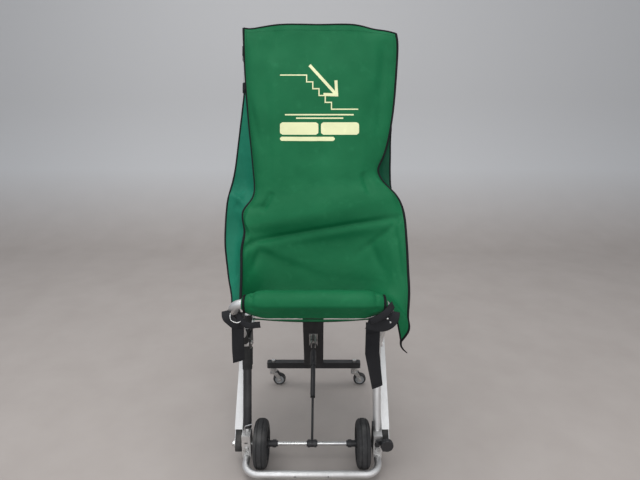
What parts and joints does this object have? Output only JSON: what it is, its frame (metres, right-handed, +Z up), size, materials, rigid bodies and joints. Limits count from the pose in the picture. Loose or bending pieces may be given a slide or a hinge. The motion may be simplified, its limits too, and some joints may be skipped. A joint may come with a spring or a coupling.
{
  "type": "stair chair",
  "caption": "Folding aluminium stair evacuation chair with belt tracks, castor stand and green hammock seat.",
  "frame": {"origin": "bottom centre of the bounding box, on the floor between the front wheels and the castors", "axes": "+Z up, -Y the way the sitter faces, +X to the right as seen from the front"},
  "size_m": [0.505, 0.7156, 1.338],
  "materials": {
    "aluminium": "satin anodised tube and channel",
    "cast_aluminium": "tumbled cast and milled blocks",
    "steel": "zinc plated steel",
    "black_paint": "black powder coat",
    "black_plastic": "moulded, fine texture",
    "black_foam": "foam rubber sleeve",
    "tyre": "matt rubber",
    "belt": "reinforced rubber belt",
    "grey_plastic": "grey moulded wheel centre",
    "green_fabric": "coated woven nylon",
    "webbing": "woven polyester webbing"
  },
  "bodies": {
    "main_frame": {"main_tube_left": "aluminium", "main_tube_right": "aluminium", "main_cross_tubes": "aluminium", "bracket_left": "cast_aluminium", "bracket_right": "cast_aluminium", "tube_cover": "black_plastic", "grip_sleeve": "black_foam", "front_axle": "steel", "axle_cap_nuts": "steel", "axle_collars": "black_plastic", "foot_bar": "aluminium", "bracket_screws": "steel", "seat_lugs": "cast_aluminium", "pivot_bolts": "steel", "handle_clamps": "black_plastic", "wire_catch": "steel", "wheel_guard": "black_paint", "knob_arm": "black_plastic", "back_fabric": "green_fabric", "sling": "green_fabric"},
    "track_frame": {"track_rail_left": "aluminium", "track_rail_right": "aluminium", "track_belt_left": "belt", "track_belt_right": "belt", "track_cross_tubes": "aluminium", "pulley_pins": "steel", "rail_end_caps": "black_plastic", "pivot_collars": "black_plastic"},
    "castor_stand": {"stand_post": "black_paint", "stand_crossbar": "black_paint", "crossbar_caps": "black_plastic", "castor_bolts": "steel", "strut_clevis": "steel"},
    "strut_piston": {"strut_rod": "black_paint"},
    "strut_body": {"strut_cylinder": "black_paint"},
    "seat_frame": {"seat_tube": "aluminium", "seat_roll": "green_fabric", "seat_panel": "green_fabric", "seat_clamps": "black_plastic"},
    "left_strap": {"strap_left": "webbing"},
    "right_strap": {"strap_right": "webbing"},
    "handle_frame": {"handle": "aluminium", "handle_grip": "black_foam"},
    "knob": {"lock_knob": "black_plastic"},
    "stay_body_left": {"stay_left": "cast_aluminium"},
    "left_wheel": {"front_tyre_left": "tyre", "front_rim_left": "black_plastic"},
    "left_upper_pulley": {"upper_pulley_left": "black_plastic"},
    "left_lower_pulley": {"lower_pulley_left": "black_plastic"},
    "left_castor_fork": {"castor_fork_left": "steel"},
    "left_castor_wheel": {"castor_tyre_left": "tyre", "castor_rim_left": "grey_plastic"},
    "stay_body_right": {"stay_right": "cast_aluminium"},
    "right_wheel": {"front_tyre_right": "tyre", "front_rim_right": "black_plastic"},
    "right_upper_pulley": {"upper_pulley_right": "black_plastic"},
    "right_lower_pulley": {"lower_pulley_right": "black_plastic"},
    "right_castor_fork": {"castor_fork_right": "steel"},
    "right_castor_wheel": {"castor_tyre_right": "tyre", "castor_rim_right": "grey_plastic"}
  },
  "joints": [
    {"name": "track_fold", "type": "hinge", "parent": "main_frame", "child": "track_frame", "pos_m": [0, -0.1988, 0.076], "axis": [1, 0, 0], "range_deg": [0, 22]},
    {"name": "stand_fold", "type": "hinge", "parent": "track_frame", "child": "castor_stand", "pos_m": [0, 0.1136, 0.39153], "axis": [-1, 0, 0], "range_deg": [0, 45]},
    {"name": "strut_swing", "type": "hinge", "parent": "track_frame", "child": "strut_piston", "pos_m": [0, -0.1988, 0.076], "axis": [1, 0, 0], "range_deg": [0, 14.38]},
    {"name": "strut_slide", "type": "slide", "parent": "strut_piston", "child": "strut_body", "axis": [0, -0.9219, -0.3875], "range_m": [0, 0.10396]},
    {"name": "seat_fold", "type": "hinge", "parent": "main_frame", "child": "seat_frame", "pos_m": [0, -0.1368, 0.4], "axis": [-1, 0, 0], "range_deg": [0, 52], "deforming": ["sling"]},
    {"name": "handle_slide", "type": "slide", "parent": "main_frame", "child": "handle_frame", "axis": [0, 0.2924, 0.9563], "range_m": [0, 0.17]},
    {"name": "knob_turn", "type": "hinge", "parent": "main_frame", "child": "knob", "pos_m": [0.23, -0.2348, 0.102], "axis": [0, -1, 0], "range_deg": [0, 180]},
    {"name": "stay_left_swing", "type": "hinge", "parent": "main_frame", "child": "stay_body_left", "pos_m": [0, -0.08974, 0.444], "axis": [1, 0, 0], "range_deg": [0, 44]},
    {"name": "left_wheel_roll", "type": "hinge", "parent": "main_frame", "child": "left_wheel", "pos_m": [0, -0.1988, 0.076], "axis": [1, 0, 0], "continuous": true},
    {"name": "left_upper_pulley_turn", "type": "hinge", "parent": "track_frame", "child": "left_upper_pulley", "pos_m": [0, 0.32436, 0.68123], "axis": [1, 0, 0], "continuous": true},
    {"name": "left_lower_pulley_turn", "type": "hinge", "parent": "track_frame", "child": "left_lower_pulley", "pos_m": [0, -0.1988, 0.076], "axis": [1, 0, 0], "continuous": true},
    {"name": "left_castor_swivel", "type": "hinge", "parent": "castor_stand", "child": "left_castor_fork", "pos_m": [-0.163, 0.2372, 0.06], "axis": [0, 0, 1], "continuous": true},
    {"name": "left_castor_roll", "type": "hinge", "parent": "left_castor_fork", "child": "left_castor_wheel", "pos_m": [-0.14, 0.2372, 0.025], "axis": [0, 1, 0], "continuous": true},
    {"name": "left_strap_hang", "type": "hinge", "parent": "seat_frame", "child": "left_strap", "pos_m": [0, -0.3028, 0.552], "axis": [1, 0, 0], "range_deg": [0, 40.56]},
    {"name": "stay_right_swing", "type": "hinge", "parent": "main_frame", "child": "stay_body_right", "pos_m": [0, -0.08974, 0.444], "axis": [1, 0, 0], "range_deg": [0, 44]},
    {"name": "right_wheel_roll", "type": "hinge", "parent": "main_frame", "child": "right_wheel", "pos_m": [0, -0.1988, 0.076], "axis": [1, 0, 0], "continuous": true},
    {"name": "right_upper_pulley_turn", "type": "hinge", "parent": "track_frame", "child": "right_upper_pulley", "pos_m": [0, 0.32436, 0.68123], "axis": [1, 0, 0], "continuous": true},
    {"name": "right_lower_pulley_turn", "type": "hinge", "parent": "track_frame", "child": "right_lower_pulley", "pos_m": [0, -0.1988, 0.076], "axis": [1, 0, 0], "continuous": true},
    {"name": "right_castor_swivel", "type": "hinge", "parent": "castor_stand", "child": "right_castor_fork", "pos_m": [0.163, 0.2372, 0.06], "axis": [0, 0, 1], "continuous": true},
    {"name": "right_castor_roll", "type": "hinge", "parent": "right_castor_fork", "child": "right_castor_wheel", "pos_m": [0.186, 0.2372, 0.025], "axis": [0, 1, 0], "continuous": true},
    {"name": "right_strap_hang", "type": "hinge", "parent": "seat_frame", "child": "right_strap", "pos_m": [0, -0.3028, 0.552], "axis": [1, 0, 0], "range_deg": [0, 40.56]}
  ],
  "couplings": [
    {"joint": "strut_swing", "follows": "stand_fold", "ratio": 0.31742},
    {"joint": "strut_slide", "follows": "stand_fold", "m_per_rad": 0.13173},
    {"joint": "stay_left_swing", "follows": "track_fold", "ratio": 2},
    {"joint": "left_lower_pulley_turn", "follows": "left_upper_pulley_turn", "ratio": 1},
    {"joint": "left_strap_hang", "follows": "seat_fold", "ratio": 0.78},
    {"joint": "stay_right_swing", "follows": "track_fold", "ratio": 2},
    {"joint": "right_lower_pulley_turn", "follows": "right_upper_pulley_turn", "ratio": 1},
    {"joint": "right_strap_hang", "follows": "seat_fold", "ratio": 0.78}
  ]
}
